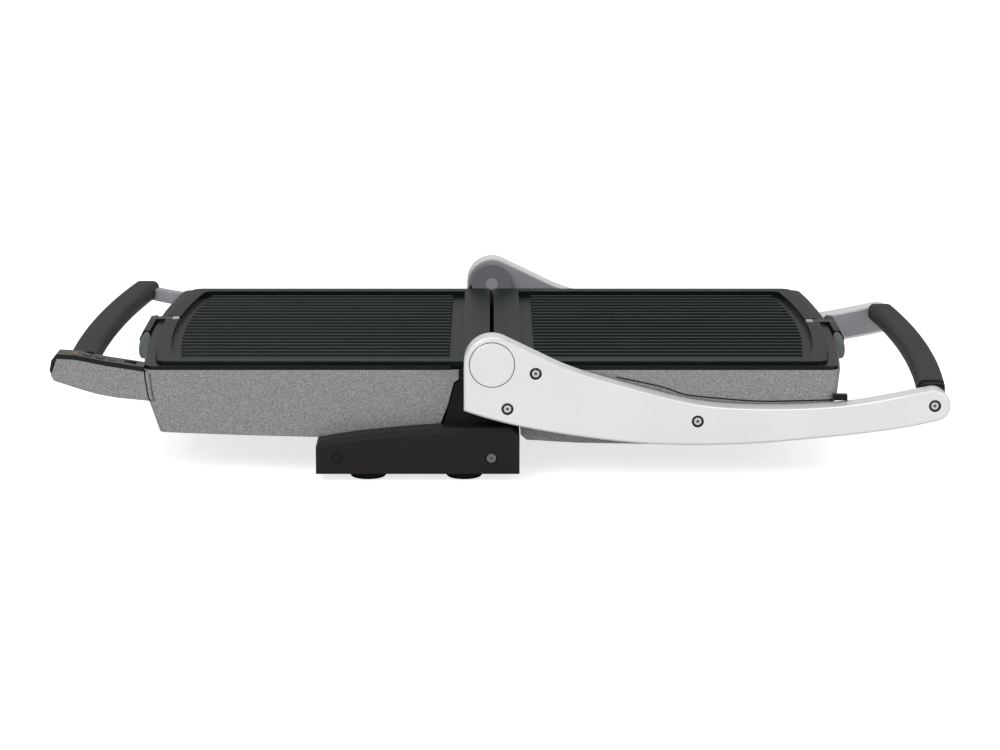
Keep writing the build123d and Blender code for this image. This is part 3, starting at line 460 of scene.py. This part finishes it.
def smooth_path(points, steps):
    """A smooth path through points, by Catmull-Rom pieces."""
    ends = [points[0], *points, points[-1]]
    path = []
    for corners in zip(ends, ends[1:], ends[2:], ends[3:]):
        for step in range(steps):
            path.append(tuple(curve_value(*values, step / steps) for values in zip(*corners)))
    return [*path, points[-1]]


def seam_strip(name, points, y, material, body):
    """A thin dark strip in the side view, standing just proud of the housing at y."""
    path = [Vector(point) for point in smooth_path(points, seam_path_steps)]
    outward = 1.0 if y > 0 else -1.0
    offsets = (-1, -seam_top_share, seam_top_share, 1)
    rises = (-seam_rise, seam_rise, seam_rise, -seam_rise)
    rows = []
    for index, point in enumerate(path):
        ahead = path[min(index + 1, len(path) - 1)] - path[max(index - 1, 0)]
        across = Vector((-ahead.y, ahead.x)).normalized() * seam_width / 2
        row = []
        for offset, rise in zip(offsets, rises):
            flat = point + across * offset
            row.append((hinge_x + flat.x, y + outward * rise, hinge_height + flat.y))
        rows.append(row)
    link_mesh(name, surface_mesh(name, rows, closed=False), material, body)


def hub_ring(name, side, material):
    """The fine ring round a hub cap."""
    rows = []
    for segment in range(ring_segments):
        angle = 2 * math.pi * segment / ring_segments
        row = []
        for corner in range(ring_corners):
            turn = 2 * math.pi * corner / ring_corners
            radius = hub_cap_radius + ring_wire_radius * (ring_standoff + math.cos(turn))
            depth = side * (arm_outer + ring_wire_radius * math.sin(turn))
            row.append((hinge_x + radius * math.cos(angle), depth, hinge_height + radius * math.sin(angle)))
        rows.append(row)
    link_mesh(name, surface_mesh(name, rows, closed=True), material, "yoke")


def add_trim(looks):
    """Seams of the housings and the rings round the hub caps."""
    for side, word in ((-1, "near"), (1, "far")):
        seam_strip(f"upper_seam_{word}", upper_seam, side * housing_side, looks["seam_black"], "upper_unit")
        hub_ring(f"hub_ring_{word}", side, looks["ring_steel"])
    seam_strip("pod_seam", pod_seam, -housing_side, looks["seam_black"], "base")


def stage_floor():
    """White floor that shows white to the camera and keeps the grill's shadow."""
    mesh = bpy.data.meshes.new("studio_floor")
    mesh.from_pydata(floor_corners, [], [(0, 1, 2, 3)])
    floor = bpy.data.objects.new("studio_floor", mesh)
    bpy.context.scene.collection.objects.link(floor)
    material = bpy.data.materials.new("studio_floor")
    tree, shader = node_tree(material)
    shader.inputs["Base Color"].default_value = (*floor_colour, 1.0)
    shader.inputs["Roughness"].default_value = 0.9
    shader.inputs["Specular IOR Level"].default_value = 0.0
    glow = tree.nodes.new("ShaderNodeEmission")
    glow.inputs["Color"].default_value = (1.0, 1.0, 1.0, 1.0)
    glow.inputs["Strength"].default_value = floor_glow
    add = tree.nodes.new("ShaderNodeAddShader")
    tree.links.new(shader.outputs["BSDF"], add.inputs[0])
    tree.links.new(glow.outputs["Emission"], add.inputs[1])
    seen = split_for_camera(tree, shader.outputs["BSDF"], add.outputs["Shader"])
    tree.links.new(seen, find_node(tree, "OUTPUT_MATERIAL").inputs["Surface"])
    mesh.materials.append(material)


def light_world():
    """A white surround at a plain level, which the camera sees brighter."""
    world = bpy.data.worlds.new("studio")
    bpy.context.scene.world = world
    world.use_nodes = True
    tree = world.node_tree
    tree.nodes.clear()
    output = tree.nodes.new("ShaderNodeOutputWorld")
    surround = tree.nodes.new("ShaderNodeBackground")
    surround.inputs["Color"].default_value = (1.0, 1.0, 1.0, 1.0)
    surround.inputs["Strength"].default_value = surround_strength
    backdrop = tree.nodes.new("ShaderNodeBackground")
    backdrop.inputs["Strength"].default_value = backdrop_strength
    seen = split_for_camera(tree, surround.outputs["Background"], backdrop.outputs["Background"])
    tree.links.new(seen, output.inputs["Surface"])


def add_softbox(name, place, size, power):
    """A square lamp that looks at the hinge."""
    data = bpy.data.lights.new(name, "AREA")
    data.shape = "SQUARE"
    data.size = size
    data.energy = power
    lamp = bpy.data.objects.new(name, data)
    lamp.location = place
    aim = Vector((hinge_x, 0.0, hinge_height)) - Vector(place)
    lamp.rotation_euler = aim.to_track_quat("-Z", "Y").to_euler()
    bpy.context.scene.collection.objects.link(lamp)


def make_camera():
    """The photograph's view."""
    data = bpy.data.cameras.new("camera")
    data.sensor_width = sensor_width
    data.lens = lens_pixels * sensor_width / image_width
    data.shift_x = (image_width / 2 - vanishing_pixel) / image_width
    camera = bpy.data.objects.new("camera", data)
    camera.location = (camera_x, camera_y, camera_height)
    camera.rotation_euler = (math.radians(90.0 - camera_pitch_deg), 0.0, 0.0)
    bpy.context.scene.collection.objects.link(camera)
    bpy.context.scene.camera = camera


looks = make_looks()
for look, names in wearers.items():
    for node in names:
        dress(node, looks[look])
add_trim(looks)
stage_floor()
light_world()
for name, (place, size, power) in softboxes.items():
    add_softbox(name, place, size, power)
make_camera()
bpy.context.scene.view_settings.view_transform = "Standard"
